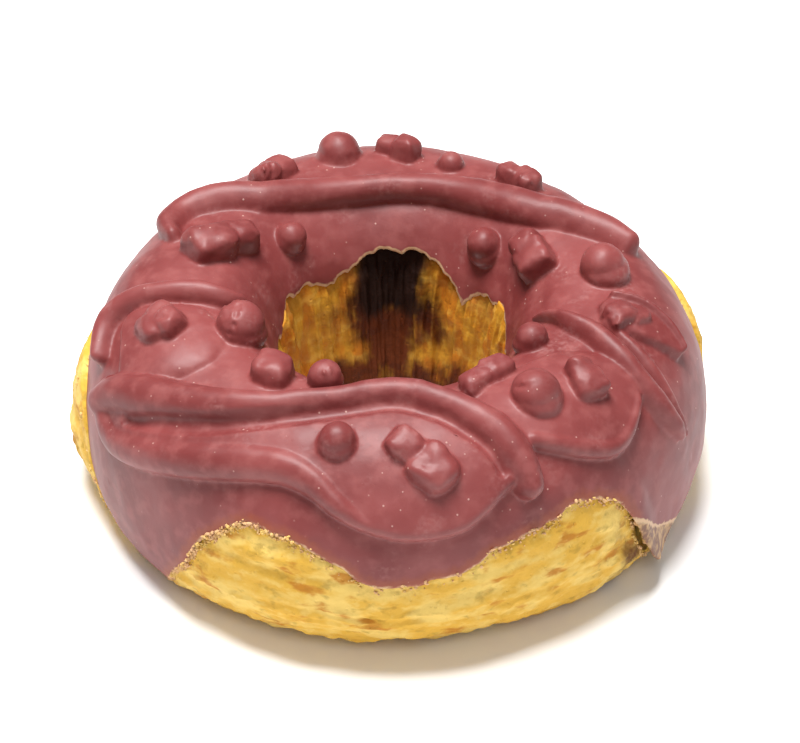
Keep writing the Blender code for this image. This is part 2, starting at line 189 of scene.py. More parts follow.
EDGE_POINTS = {
    "lower": ring(EDGE_STEPS, lower_edge(EDGE_STEPS)),
    "hole": ring(EDGE_STEPS, hole_edge(EDGE_STEPS)),
}
print("edge points:", {name: len(points) for name, points in EDGE_POINTS.items()})

# %% [markdown]
# ## Small modelling tools
#
# Every piece below starts as one of Blender's primitives. These helpers add one with nothing else
# selected, apply a modifier, move a piece's place into its mesh, and read or write all vertices at once
# with numpy, which is far quicker than a loop over them. A ring with thousands of faces starts as a flat
# grid that is rolled up.

# %% Small modelling tools
SEAM_GAP = 1e-4
FRACTAL = (1.0, 2.0)
SEED_SHIFT = (7.3, 3.1, 5.7)


def deselect():
    for obj in bpy.context.selected_objects:
        obj.select_set(False)


def added(add, name, **sizes):
    """Adds a primitive with its operator and names it."""
    deselect()
    add(**sizes)
    obj = bpy.context.object
    obj.name = name
    return obj


def apply(obj, kind, **settings):
    """Adds one modifier and applies it."""
    modifier = obj.modifiers.new(kind.lower(), kind)
    for name, value in settings.items():
        setattr(modifier, name, value)
    deselect()
    bpy.context.view_layer.objects.active = obj
    obj.select_set(True)
    bpy.ops.object.modifier_apply(modifier=modifier.name)


def bake(obj):
    """Moves the object's place, turn and scale into its mesh."""
    obj.data.transform(obj.matrix_basis)
    obj.matrix_basis = Matrix.Identity(4)


def points_of(obj):
    values = np.empty(len(obj.data.vertices) * 3)
    obj.data.vertices.foreach_get("co", values)
    return values.reshape(-1, 3)


def move_points(obj, points):
    obj.data.vertices.foreach_set("co", np.ascontiguousarray(points, dtype=np.float32).ravel())
    obj.data.update()


def normals_of(obj):
    values = np.empty(len(obj.data.vertices) * 3)
    obj.data.vertex_normals.foreach_get("vector", values)
    return values.reshape(-1, 3)


def weld(obj, distance):
    """Merges the vertices that lie within a distance of each other, and turns all faces outwards."""
    bm = bmesh.new()
    bm.from_mesh(obj.data)
    bmesh.ops.remove_doubles(bm, verts=bm.verts, dist=distance)
    bmesh.ops.recalc_face_normals(bm, faces=bm.faces)
    bm.to_mesh(obj.data)
    bm.free()


def rolled_grid(name, azimuths, rows):
    """A flat grid rolled up into a closed ring, with each vertex's azimuth and row."""
    obj = added(bpy.ops.mesh.primitive_grid_add, name, x_subdivisions=azimuths, y_subdivisions=rows, size=2)
    flat = points_of(obj)
    around, section = (flat[:, 0] + 1) * math.pi, (flat[:, 1] + 1) * math.pi
    middle = 3
    radius = middle + np.cos(section)
    rolled = [radius * np.cos(around), radius * np.sin(around), np.sin(section)]
    move_points(obj, np.stack(rolled, axis=-1))
    weld(obj, SEAM_GAP)
    x, y, z = points_of(obj).T
    azimuth = np.degrees(np.arctan2(y, x)) % 360
    section = np.arctan2(z, np.hypot(x, y) - middle) % math.tau
    return obj, azimuth, np.rint(section / math.tau * rows).astype(int) % rows


def join(pieces, name):
    deselect()
    for piece in pieces:
        piece.select_set(True)
    bpy.context.view_layer.objects.active = pieces[0]
    bpy.ops.object.join()
    pieces[0].name = name
    return pieces[0]


def triangles(obj):
    return sum(len(polygon.vertices) - 2 for polygon in obj.data.polygons)


def fbm(points, size, octaves, seed):
    """Cloudy noise between about -1 and 1 at each point, with features of the given size."""
    shift = Vector([seed * part for part in SEED_SHIFT])
    return np.array([noise.fractal(Vector(point) / size + shift, *FRACTAL, octaves) for point in points])


def nearest(points, places):
    """For each point, the number of the nearest of the places, and how far off it is."""
    tree = KDTree(len(places))
    for number, place in enumerate(places):
        tree.insert(place, number)
    tree.balance()
    found = [tree.find(point) for point in points]
    return np.array([number for _, number, _ in found]), np.array([gap for _, _, gap in found])


print("tools are ready")

# %% [markdown]
# ## Ribbons
#
# A ribbon of piped icing is an arch along a route. The route's knots are places on the ring's map, with
# the half width there. The arch's two sides aren't alike: where the icing slumped downhill the side stands
# steep over a dark crease, and uphill it melts away gently. A ribbon also gets lower where its tail is
# narrow. Heights over the skin say all that, so ribbons need no mesh of their own, and the dark crease
# below the front ribbon is one more height, which is taken away.

# %% Ribbons
KNOT_STEPS, ROUTE_STEP = 40, 0.3 * MM
STEEP, ROUND, SLOPED, GENTLE = 0.5, 0.7, 0.8, 1.0
TAIL = 0.65
# top in mm, the left and the right side, then knots of azimuth, tube angle and half width in mm
RIBBONS = {
    "back": (3.1, STEEP, ROUND, [
        (161, 74, 1.2), (156, 67, 1.9), (149, 67, 2.3), (142, 77, 2.6), (134, 90, 2.7), (121, 100, 2.5),
        (104, 106, 2.2), (86, 106, 2.1), (72, 105, 2.2), (59, 103, 2.5), (43, 97, 2.8), (29, 85, 2.8),
        (21, 75, 2.6), (15, 69, 1.9),
    ]),
    "left": (2.6, SLOPED, STEEP, [
        (193, 40, 1.3), (187, 48, 1.8), (185, 60, 2.0), (186, 76, 2.0), (188, 91, 1.9), (191, 106, 1.6),
        (191, 120, 1.0), (190, 132, 0.4),
    ]),
    "front": (3.7, SLOPED, STEEP, [
        (203, 34, 2.8), (206, 42, 3.0), (212, 50, 3.1), (221, 60, 2.9), (230, 68, 2.7), (241, 77, 2.4),
        (249, 84, 2.1), (261, 90, 2.2), (270, 93, 2.3), (281, 88, 2.5), (288, 80, 2.7), (293, 68, 2.8),
        (295, 57, 2.7), (296, 47, 2.4), (296, 42, 2.2),
    ]),
    "loop": (2.7, GENTLE, STEEP, [
        (203, 38, 2.5), (205, 31, 2.7), (210, 27, 2.9), (217, 31, 3.0), (226, 39, 3.0), (235, 47, 3.0),
        (243, 53, 2.9), (250, 55, 2.7), (256, 51, 2.4), (261, 43, 2.0), (266, 36, 1.5), (272, 31, 0.9),
        (278, 30, 0.3),
    ]),
    "right": (2.4, SLOPED, STEEP, [
        (334, 22, 0.7), (332, 33, 1.4), (331, 45, 1.7), (331, 60, 1.8), (333, 74, 1.9), (336, 86, 1.7),
        (339, 100, 1.2), (346, 122, 0.5),
    ]),
    "right_outer": (1.3, GENTLE, STEEP, [
        (336, 20, 0.6), (335, 30, 0.9), (335, 43, 1.1), (336, 57, 1.2), (338, 70, 1.1), (341, 83, 0.7),
    ]),
    "slab_rim": (1.8, GENTLE, STEEP, [
        (300, 60, 1.4), (304, 55, 1.5), (310, 47, 1.6), (316, 41, 1.6), (320, 42, 1.5), (325, 48, 1.2),
        (328, 53, 0.8),
    ]),
    "flake_rim": (2.4, STEEP, STEEP, [
        (351, 83, 0.7), (351, 74, 0.8), (350, 64, 0.8), (348, 54, 0.8), (346, 47, 0.6),
    ]),
}
CREASE = (0.9, GENTLE, GENTLE, [
    (213, 38, 0.9), (221, 47, 1.3), (230, 56, 1.4), (240, 67, 1.3), (250, 76, 1.2), (261, 83, 1.2),
    (271, 86, 1.2), (280, 80, 1.1), (285, 72, 1.0), (289, 62, 0.9), (291, 50, 0.8),
])


def between(knots, position):
    """The smooth point at a position counted in knots along an open run."""
    i = min(int(position), len(knots) - 2)
    t = position - i
    p0, p1, p2, p3 = (knots[min(max(i + k, 0), len(knots) - 1)] for k in (-1, 0, 1, 2))
    return tuple(
        0.5 * (2 * b + (c - a) * t + (2 * a - 5 * b + 4 * c - d) * t * t + (3 * b - a - 3 * c + d) * t**3)
        for a, b, c, d in zip(p0, p1, p2, p3)
    )


def route(knots):
    """Even places on the ring along the smooth line through the knots, with each place's third value."""
    steps = range(KNOT_STEPS * (len(knots) - 1) + 1)
    fine = np.array([between(knots, step / KNOT_STEPS) for step in steps])
    places = ring(fine[:, 0], fine[:, 1])
    run = np.concatenate([[0], np.cumsum(np.linalg.norm(np.diff(places, axis=0), axis=1))])
    marks = np.linspace(0, run[-1], round(run[-1] / ROUTE_STEP) + 1)
    even = np.stack([np.interp(marks, run, column) for column in (*places.T, fine[:, 2])], axis=-1)
    return even[:, :3], even[:, 3]


def ribbon_height(points, out, top, left, right, knots):
    """How high a ribbon stands over each point, in mm."""
    places, half_width = route(knots)
    number, gap = nearest(points, places)
    ahead = np.gradient(places, axis=0)[number]
    side = np.einsum("ij,ij->i", np.cross(out, ahead), points - places[number])
    across = np.minimum(gap / (half_width[number] * MM), 1)
    full = np.minimum(half_width[number] / (TAIL * half_width.max()), 1)
    return top * full * (1 - across**2) ** np.where(side > 0, left, right)


print("ribbons:", list(RIBBONS))

# %% [markdown]
# ## Terraces
#
# In places the icing ran together into a flat sheet, which lies on the coat like a terrace. Its outline's
# knots hold a third value, the width over which it rounds down there: small where it ends in a crisp step,
# large where it fades into the coat.

# %% Terraces
# top in mm, then knots of azimuth, tube angle and the width of the rounding in mm
TERRACES = {
    "front": (1.9, [
        (201, 32, 1.2), (206, 50, 1.5), (219, 66, 2.0), (239, 81, 2.0), (261, 95, 2.0), (283, 94, 2.0),
        (294, 76, 2.0), (298, 60, 1.5), (297, 46, 1.0), (292, 42, 1.2), (288, 36, 1.4), (283, 30, 1.5),
        (278, 28, 1.6), (272, 28, 1.6), (267, 31, 1.6), (262, 36, 1.5), (258, 42, 1.4), (254, 47, 1.3),
        (250, 49, 1.2), (244, 48, 1.2), (238, 43, 1.2), (230, 36, 1.2), (224, 30, 1.2), (217, 24, 1.2),
        (209, 21, 1.2), (203, 26, 1.2),
    ]),
    "right": (1.4, [
        (299, 56, 1.2), (303, 51, 1.0), (310, 43, 1.0), (317, 36, 1.0), (321, 38, 1.0), (326, 45, 1.0),
        (330, 54, 1.6), (332, 70, 4.0), (326, 88, 8.0), (312, 96, 9.0), (298, 94, 8.0), (290, 82, 5.0),
        (289, 70, 4.0), (293, 60, 2.0),
    ]),
    "left": (1.4, [
        (204, 44, 1.0), (200, 49, 0.8), (196, 53, 0.7), (192, 56, 0.7), (189, 63, 1.2), (190, 78, 3.0),
        (195, 92, 6.0), (206, 96, 8.0), (216, 86, 8.0), (215, 68, 4.0), (209, 50, 2.0),
    ]),
    "flake": (1.5, [
        (342, 84, 1.2), (348, 87, 0.9), (352, 82, 0.7), (352, 72, 0.6), (350, 62, 0.6), (348, 52, 0.6),
        (345, 45, 0.7), (343, 54, 0.8), (341, 66, 0.9), (340, 76, 1.0),
    ]),
}


def inside(azimuth, tube, outline):
    """Whether each place lies inside a closed outline, by how often a line out of it crosses the outline."""
    found = np.zeros(len(azimuth), dtype=bool)
    for (a0, t0), (a1, t1) in zip(outline, np.roll(outline, -1, axis=0)):
        if a0 != a1:
            crosses = (a0 > azimuth) != (a1 > azimuth)
            found ^= crosses & (tube < t0 + (azimuth - a0) * (t1 - t0) / (a1 - a0))
    return found


def terrace_height(points, azimuth, tube, top, outline):
    """How high a terrace stands over each point, in mm."""
    closed = [*outline, outline[0]]
    places, rounding = route(closed)
    number, gap = nearest(points, places)
    steps = np.arange(KNOT_STEPS * len(outline)) / KNOT_STEPS
    fine = np.array([between(closed, step)[:2] for step in steps])
    depth = np.minimum(gap / (rounding[number] * MM), 1)
    return np.where(inside(azimuth, tube, fine), top * np.sqrt(1 - (1 - depth) ** 2), 0)


print("terraces:", list(TERRACES))

# %% [markdown]
# ## The icing's coat
#
# The coat is a rolled-up grid: most rows run over the outside from the lower edge to the hole's edge, and
# a few run back underneath. The outside carries the ribbons and terraces, less the crease, and broad soft
# swells keep it from looking turned on a lathe. The lower edge curls out at the front corners, most of all
# at the right one.

# %% The icing's coat
COAT_AZIMUTHS, OUTSIDE_ROWS, UNDERSIDE_ROWS = 900, 180, 24
ICING, EDGE_THICKNESS = 1.2 * MM, 0.6 * MM
EDGE_FADE, EDGE_ROUNDING = 2.2, 0.35
LIPS, LIP_REACH, LIP_POWER = [(326, 8, 2.4 * MM), (217, 12, 0.4 * MM)], 28.0, 1.3
SWELL, SWELL_SIZE = 0.25 * MM, 9 * MM
RIPPLE, RIPPLE_SIZE = 0.06 * MM, 3 * MM


def make_coat():
    rows = OUTSIDE_ROWS + UNDERSIDE_ROWS
    obj, azimuth, row = rolled_grid("icing_coat", COAT_AZIMUTHS, rows)
    low, high = lower_edge(azimuth), hole_edge(azimuth)
    outside = row < OUTSIDE_ROWS
    way_back = 1 - (row - OUTSIDE_ROWS) / (UNDERSIDE_ROWS - 1)
    share = np.where(outside, row / (OUTSIDE_ROWS - 1), way_back)
    tube = low + (high - low) * share
    from_edge = np.clip(np.minimum(tube - low, high - tube) / EDGE_FADE, 0, 1)
    plump = np.sqrt(from_edge * (2 - from_edge))
    thickness = EDGE_THICKNESS + (ICING - EDGE_THICKNESS) * plump
    rounding = EDGE_ROUNDING * EDGE_THICKNESS * (1 - plump)
    points = ring(azimuth, tube, np.where(outside, rounding, thickness - rounding))
    curl = sum(reach * bell(azimuth, centre, spread) for centre, spread, reach in LIPS)
    curl = curl * np.clip(1 - (tube - low) / LIP_REACH, 0, 1) ** LIP_POWER
    outwards = np.stack([np.cos(np.radians(azimuth)), np.sin(np.radians(azimuth)), 0 * azimuth], axis=-1)
    points = points + outwards * curl[:, None]
    move_points(obj, points)
    out, on_top = normals_of(obj)[outside], points[outside]
    azimuth_on_top, tube_on_top = azimuth[outside], tube[outside]
    flat = ring(azimuth_on_top, tube_on_top)
    heights = [ribbon_height(flat, out, *sizes) for sizes in RIBBONS.values()]
    heights += [terrace_height(flat, azimuth_on_top, tube_on_top, *sizes) for sizes in TERRACES.values()]
    relief = (np.max(heights, axis=0) - ribbon_height(flat, out, *CREASE)) * MM
    relief = relief + fbm(on_top, SWELL_SIZE, octaves=2, seed=1.0) * SWELL
    relief = relief + fbm(on_top, RIPPLE_SIZE, octaves=2, seed=2.0) * RIPPLE
    points[outside] = on_top + out * (relief * plump[outside])[:, None]
    move_points(obj, points)
    return obj, azimuth, tube


icing, coat_azimuth, coat_tube = make_coat()
coat_points = points_of(icing)
SKIN = BVHTree.FromPolygons(
    [Vector(point) for point in coat_points],
    [tuple(polygon.vertices) for polygon in icing.data.polygons],
)
print("coat:", triangles(icing), "triangles")

# %% [markdown]
# ## Pearls and crumbs
#
# The pearls are sugar balls of 4 to 7 mm, a little dented. The icing ran down them and gathered at the
# foot, so each has a skirt, a flatter ball set a little downhill. The crumbs are broken biscuit: blocks
# with knocked corners, often two stuck together. A block is a cube whose corners are moved at random, then
# bevelled and subdivided, which rounds it as the icing does. What lies deep under the coat is brought up
# close to it, so that nothing comes out on the coat's inner side.

# %% Pearls and crumbs
# azimuth, tube angle, then radius, lift and the skirt's run downhill in mm
PEARLS = [
    (103, 77, 3.2, 0.7, 0.1), (73, 85, 2.0, 0.5, 0.3), (135, 121, 2.2, 0.8, 0.2), (45, 127, 2.5, 0.9, 0.7),
    (4, 86, 3.2, 1.3, 0.6), (208, 105, 3.4, 1.6, 0.5), (326, 107, 2.3, 1.2, 0.6), (306, 77, 3.3, 1.9, 0.5),
    (249, 102, 2.3, 1.7, 0.4), (259, 68, 2.4, 2.4, 0.4),
]
PEARL_SEGMENTS, PEARL_RINGS = 40, 20
PEARL_DENT, PEARL_DENT_SIZE = 0.05, 1.1
SKIRT_WIDTH, SKIRT_HEIGHT, SKIRT_DROP = 1.1, 0.8, 0.25
# a place and turn, then lumps: along, across, half length, half width and height in mm
CRUMBS = [
    ((123, 80, 10), [(-1.7, 0, 2.7, 2.4, 2.8), (1.9, 0.4, 2.5, 2.2, 3.4)]),
    ((88, 79, -25), [(-1.5, 0.4, 2.4, 2.1, 4.0), (1.6, -0.2, 2.7, 2.0, 2.6)]),
    ((52, 81, -8), [(-1.4, 0, 2.5, 2.2, 3.0), (1.6, 0.2, 2.3, 2.1, 2.8)]),
    ((161, 98, -38), [(-2.6, -0.2, 3.4, 2.6, 3.2), (2.3, 0.3, 4.0, 3.3, 3.8)]),
    ((200, 74, 20), [(-0.3, 0, 3.4, 3.6, 4.3), (1.2, 0.8, 2.4, 2.4, 4.9)]),
    ((233, 94, 15), [(0, 0, 3.5, 3.0, 3.7)]),
    ((20, 115, -10), [(-1.2, 0, 3.0, 3.0, 3.3), (1.5, 0.4, 2.8, 2.7, 3.9)]),
    ((345, 76, -35), [(-1.0, 0.4, 2.6, 2.4, 3.1), (1.1, -0.8, 1.9, 1.9, 2.9)]),
    ((300, 96, 8), [(-1.8, 0.2, 2.9, 2.2, 3.0), (2.0, 0.3, 2.9, 2.3, 3.3)]),
    ((319, 71, 70), [(-1.0, 0, 2.4, 2.6, 4.0), (1.2, 0, 2.3, 2.5, 4.2)]),
    ((276, 61, -50), [(-2.5, 0, 3.0, 2.6, 4.0), (2.0, 0.2, 3.6, 3.5, 4.3)]),
]
CORNER_JITTER, OUTWARD_SHARE, CORNER_BEVEL = 0.2, 0.4, 0.5
LUMP_DENT, LUMP_DENT_SIZE = 0.12, 1.0
LUMP_PIT, LUMP_PIT_SIZE = 0.06, 0.35
SINK = 0.5 * MM


def turned_frame(azimuth, tube, turn, lift=0.0):
    """The matrix that lays a piece on the ring: X along the ring, turned about the way out, Z outwards."""
    point, along, up, out = ring_frame(azimuth, tube)
    facing = Matrix((along, up, out)).transposed().to_4x4()
    return Matrix.Translation(point + out * lift) @ facing @ Matrix.Rotation(math.radians(turn), 4, "Z")


def sink_in(obj):
    """Brings what lies deeper than SINK under the coat up to that depth."""
    for vertex in obj.data.vertices:
        spot, out = SKIN.find_nearest(vertex.co)[:2]
        vertex.co = spot + out * max((vertex.co - spot).dot(out), -SINK)
    obj.data.update()


def ball(name, place, size, seed):
    """A dented ball, placed and stretched by a matrix and a size for each axis."""
    sizes = {"segments": PEARL_SEGMENTS, "ring_count": PEARL_RINGS, "radius": 1}
    obj = added(bpy.ops.mesh.primitive_uv_sphere_add, name, **sizes)
    points = points_of(obj)
    dents = 1 + PEARL_DENT * fbm(points, PEARL_DENT_SIZE, 2, seed)
    move_points(obj, points * dents[:, None])
    obj.matrix_basis = place @ Matrix.Diagonal((*size, 1))
    bake(obj)
    sink_in(obj)
    return obj


def pearl(number, azimuth, tube, radius, lift, run):
    place = turned_frame(azimuth, tube, 0, lift * MM)
    out = ring_frame(azimuth, tube)[3]
    downhill = Vector((0, 0, -1)) + out * out.z
    top = ball(f"pearl_{number}", place, [radius * MM] * 3, number)
    foot = place.copy()
    foot.translation += downhill.normalized() * run * MM - out * SKIRT_DROP * radius * MM
    width = radius * SKIRT_WIDTH * MM
    skirt = ball(f"skirt_{number}", foot, (width, width, radius * SKIRT_HEIGHT * MM), number + 0.5)
    return [top, skirt]


def lump(name, place, along, across, half_length, half_width, height, chance):
    obj = added(bpy.ops.mesh.primitive_cube_add, name, size=2)
    for vertex in obj.data.vertices:
        jitter = [chance.uniform(-CORNER_JITTER, OUTWARD_SHARE * CORNER_JITTER) for _ in range(3)]
        vertex.co = Vector([c * (1 + move) for c, move in zip(vertex.co, jitter)])
    apply(obj, "BEVEL", width=CORNER_BEVEL, segments=2, limit_method="NONE")
    apply(obj, "SUBSURF", levels=3, render_levels=3)
    points = points_of(obj)
    seed = chance.uniform(0, 9)
    dents = 1 + LUMP_DENT * fbm(points, LUMP_DENT_SIZE, 2, seed)
    dents = dents - LUMP_PIT * np.maximum(0, fbm(points, LUMP_PIT_SIZE, 2, seed + 1))
    move_points(obj, points * dents[:, None])
    middle = Matrix.Translation((along * MM, across * MM, 0))
    stretch = Matrix.Diagonal((half_length * MM, half_width * MM, height * MM, 1))
    obj.matrix_basis = place @ middle @ stretch
    bake(obj)
    sink_in(obj)
    return obj


pearls = [piece for number, sizes in enumerate(PEARLS, 1) for piece in pearl(number, *sizes)]
chance = random.Random(SEED)
crumbs = [
    lump(f"crumb_{number}_{part}", turned_frame(*place), *sizes, chance)
    for number, (place, lumps) in enumerate(CRUMBS, 1)
    for part, sizes in enumerate(lumps)
]
print(len(PEARLS), "pearls and", len(crumbs), "lumps of crumb")

# %% [markdown]
# ## One coat over all
#
# A voxel remesh melts the overlapping pieces into a single closed surface, and a few rounds of smoothing
# leave the small fillets that a liquid coat leaves in its creases. Very small bumps come back as noise.

# %% One coat over all
VOXEL = 0.25 * MM
SMOOTHING, SMOOTHING_ROUNDS = 0.5, 2
PIMPLE, PIMPLE_SIZE = 0.045 * MM, 1.8 * MM
MOST_TRIANGLES = 195000

icing = join([icing] + pearls + crumbs, "icing_coat")
apply(icing, "REMESH", mode="VOXEL", voxel_size=VOXEL, adaptivity=0)
apply(icing, "SMOOTH", factor=SMOOTHING, iterations=SMOOTHING_ROUNDS)
print("icing coat:", triangles(icing), "triangles before thinning")
apply(icing, "DECIMATE", ratio=min(1, MOST_TRIANGLES / triangles(icing)))
icing_points = points_of(icing)
pimples = fbm(icing_points, PIMPLE_SIZE, octaves=3, seed=4.0) * PIMPLE
move_points(icing, icing_points + normals_of(icing) * pimples[:, None])
icing.data.shade_smooth()
print("icing coat:", triangles(icing), "triangles")

# %% [markdown]
# ## What the icing's finish needs to know
#
# Along its edges the icing shows its pale inside, and at the right front corner the lip is torn and shows
# brown. The finish reads this from attributes of the mesh: how far each point is from an edge, in
# millimetres, and how torn it is, by its place on the ring's map, where the tear runs aslant.

# %% What the icing's finish needs to know
RIM_READ = 4.0
TORN_CENTRE, TORN_SPREAD = 325, 10
TORN_START, TORN_END, TORN_SLANT = 1, -7, 1.4


def add_attribute(obj, name, values):
    layer = obj.data.attributes.new(name, "FLOAT", "POINT")
    layer.data.foreach_set("value", np.asarray(values, dtype=np.float32))


def from_edge_mm(points, kind):
    return np.minimum(nearest(points, EDGE_POINTS[kind])[1] / MM, RIM_READ)


icing_points = points_of(icing)
on_map = nearest(icing_points, coat_points)[0]
icing_azimuth, icing_tube = coat_azimuth[on_map], coat_tube[on_map]
for kind in ("lower", "hole"):
    add_attribute(icing, f"from_{kind}_edge", from_edge_mm(icing_points, kind))
slanted = icing_tube + TORN_SLANT * (icing_azimuth - TORN_CENTRE)
torn = bell(icing_azimuth, TORN_CENTRE, TORN_SPREAD) * ease(slanted, TORN_START, TORN_END)
add_attribute(icing, "torn", torn)
print("most torn:", round(float(torn.max()), 2))

# %% [markdown]
# ## The dough
#
# The dough is the ring itself. Where the icing hides it, it is plain and stays under the skin. Where it is
# bare it swells past the icing at both sides, it is streaked along the ring in front, folded from top to
# bottom in the hole, and pitted all over. Its bare rows start a little way under the icing, so that no gap
# shows at the edge. All of that is real relief in the mesh.

# %% The dough
DOUGH_AZIMUTHS, COVERED_ROWS, BARE_ROWS = 560, 10, 160
GAP = 0.35 * MM
BARE_INSET, OVERLAP = 0.3 * MM, 2.5
# azimuth and its spread, tube angle and its spread, then the size
BULGES = [(180, 14, -12, 34, 2.8 * MM), (13, 12, 10, 34, 1.7 * MM), (112, 12, 0, 40, 0.8 * MM)]
RECESS = (88, 26, 146, 22, 1.6 * MM)
FOLDS, WIDE_FOLDS, WIDE_FOLD_SHARE, FOLD_DEPTH = 13, 8, 0.6, 0.5 * MM
EDGE_SHARE, EDGE_DIP_MM, EDGE_RELIEF = 0.05, 0.15, 0.3
# scale along the ring, scale round its section, seed
STREAKS, CRINKLES = (0.07, 10, 0), (0.26, 1.6, 5)
STREAK_MM, CRINKLE_MM, GRAIN_MM, GRAIN_SIZE = 0.55, 0.9, 0.24, 1.6 * MM
UNDERSIDE_TUBE = 262


def patch(azimuth, tube, centre, spread, tube_centre, tube_spread, size):
    """A soft mound of the given size round one place on the ring."""
    return size * bell(azimuth, centre, spread) * bell(tube, tube_centre, tube_spread)


def streaky(azimuth, tube, along, around, seed):
    """Noise that is drawn out along the ring or round its section, by the two scales."""
    places = np.stack([azimuth * along, np.radians(tube) * around, 0 * tube + seed], axis=-1)
    return np.array([noise.fractal(Vector(place), *FRACTAL, 4) for place in places])


def make_dough():
    rows = COVERED_ROWS + BARE_ROWS
    obj, azimuth, row = rolled_grid("dough_ring", DOUGH_AZIMUTHS, rows)
    low = round_the_ring(LOWER_EDGE, azimuth) + OVERLAP
    high = round_the_ring(HOLE_EDGE, azimuth) - OVERLAP
    covered = row < COVERED_ROWS
    under_icing = low + (high - low) * row / (COVERED_ROWS - 1)
    share = (row - COVERED_ROWS) / (BARE_ROWS - 1)
    pull = UNDERSIDE_TUBE - (high + low + 360) / 2
    bare = high + (low + 360 - high) * share + pull * 4 * share * (1 - share)
    tube = np.where(covered, under_icing, bare)
    bulge = sum(patch(azimuth, tube, *sizes) for sizes in BULGES)
    inward = np.maximum(0, -np.cos(np.radians(tube)))
    angle = np.radians(azimuth)
    fold = np.sin(FOLDS * angle) + WIDE_FOLD_SHARE * np.sin(WIDE_FOLDS * angle + 1.0)
    inset = BARE_INSET - bulge + patch(azimuth, tube, *RECESS) + FOLD_DEPTH * fold * inward
    open_share = np.clip(np.minimum(share, 1 - share) / EDGE_SHARE, 0, 1)
    inset = np.where(covered, ICING + GAP, inset + (1 - open_share) ** 2 * EDGE_DIP_MM * MM)
    points = ring(azimuth, tube, inset)
    streak = streaky(azimuth, tube, *STREAKS)
    crinkle = streaky(azimuth, tube, *CRINKLES)
    grain = fbm(points, GRAIN_SIZE, octaves=4, seed=2.0)
    relief = (streak * STREAK_MM * (1 - inward) + crinkle * CRINKLE_MM * inward + grain * GRAIN_MM) * MM
    relief = np.where(covered, 0, relief * (EDGE_RELIEF + (1 - EDGE_RELIEF) * open_share))
    move_points(obj, points)
    points = points + normals_of(obj) * relief[:, None]
    points[:, 2] = np.maximum(points[:, 2], 0)
    move_points(obj, points)
    obj.data.shade_smooth()
    return obj


dough = make_dough()
print("dough:", triangles(dough), "triangles")

# %% [markdown]
# ## Crumbs along the edge
#
# Where the icing's edge dried on the dough, it pulled up a ragged fringe of pale crumbs, thickest at the
# left front. They sit on the icing just above its edge, and on the dough below it. Each crumb is the same
# icosphere, dented, stretched and turned at random, and all of them are one piece.

# %% Crumbs along the edge
FRINGE_COUNT = 1500
# azimuth, spread and weight
FRINGE_PLACES = [
    (226, 13, 5.0), (238, 16, 2.0), (306, 14, 0.8), (208, 10, 3.0), (326, 8, 2.0), (270, 60, 0.3),
]
FRINGE_LEAST, FRINGE_STEP, FRINGE_STRAY = 0.12, 0.5, 0.3
FRINGE_SIZE = (0.09 * MM, 0.30 * MM)
FRINGE_BELOW, FRINGE_ABOVE, FRINGE_PEAK = 4.0, 2.2, 0.8
SIZE_AT_EDGE, SIZE_LOST = 1.2, 0.2
FRINGE_STRETCH, FRINGE_DENT, FRINGE_LIFT = [(0.7, 1.9), (0.6, 1.2), (0.5, 1.0)], 0.25, 0.3


def fringe_weight(azimuth):
    places = (weight * bell(azimuth, centre, spread) for centre, spread, weight in FRINGE_PLACES)
    return FRINGE_LEAST + sum(places)


def make_fringe(chance):
    seed_crumb = added(bpy.ops.mesh.primitive_ico_sphere_add, "fringe_seed", subdivisions=1, radius=1)
    base = points_of(seed_crumb)
    sides = [tuple(polygon.vertices) for polygon in seed_crumb.data.polygons]
    bpy.data.objects.remove(seed_crumb)
    azimuths = np.arange(0, 360, FRINGE_STEP)
    weights = fringe_weight(azimuths)
    deps = bpy.context.evaluated_depsgraph_get()
    on_dough, on_icing = BVHTree.FromObject(dough, deps), BVHTree.FromObject(icing, deps)
    points, faces = [], []
    for number, azimuth in enumerate(chance.choices(azimuths, weights, k=FRINGE_COUNT)):
        azimuth += chance.uniform(-FRINGE_STRAY, FRINGE_STRAY)
        drop = chance.triangular(-FRINGE_ABOVE, FRINGE_BELOW, FRINGE_PEAK)
        tube = float(lower_edge(azimuth)) - drop
        surface = on_icing if drop < 0 else on_dough
        spot, out = surface.find_nearest(Vector(ring(azimuth, tube)))[:2]
        size = chance.uniform(*FRINGE_SIZE) * (SIZE_AT_EDGE - SIZE_LOST * abs(drop))
        angle = chance.uniform(0, math.tau)
        turn = Matrix.Rotation(angle, 3, Vector([chance.gauss(0, 1) for _ in range(3)]))
        stretch = Vector([chance.uniform(*limits) for limits in FRINGE_STRETCH])
        faces += [[number * len(base) + corner for corner in side] for side in sides]
        for corner in base:
            dent = 1 + chance.uniform(-FRINGE_DENT, FRINGE_DENT)
            points.append(spot + out * size * FRINGE_LIFT + turn @ (Vector(corner) * stretch * dent) * size)
    mesh = bpy.data.meshes.new("edge_crumbs")
    mesh.from_pydata(points, [], faces)
    obj = bpy.data.objects.new("edge_crumbs", mesh)
    bpy.context.scene.collection.objects.link(obj)
    return obj


fringe = make_fringe(random.Random(SEED + 1))
print("fringe:", FRINGE_COUNT, "crumbs,", triangles(fringe), "triangles")

# %% [markdown]
# ## What the dough's finish needs to know
#
# Down in the hole the dough gets painted shade: brown round the back wall and low down, and nearly black at
# the back under the lip, where no light reaches. The hollow under the torn lip gets painted brown shade too.
# All this follows the ring's map, so it goes into attributes.

# %% What the dough's finish needs to know
# azimuth and spread of the painted shade on the hole's back wall, and of the painted shadow under its lip
HOLE_SHADE, LIP_SHADOW = (90, 34), (89, 22)
# place and spread of the painted shade in the hollow under the torn lip, then its strength
HOLLOW_SHADE, HOLLOW_SHADE_SHARE = (319.5, 4.5), 0.72
# where each starts and where it is full, in mm of radius or of height
HOLE_WALL, FOOT_SHADE, LIP_SHADOW_HEIGHT = (23, 19), (15, 5), (12, 19)

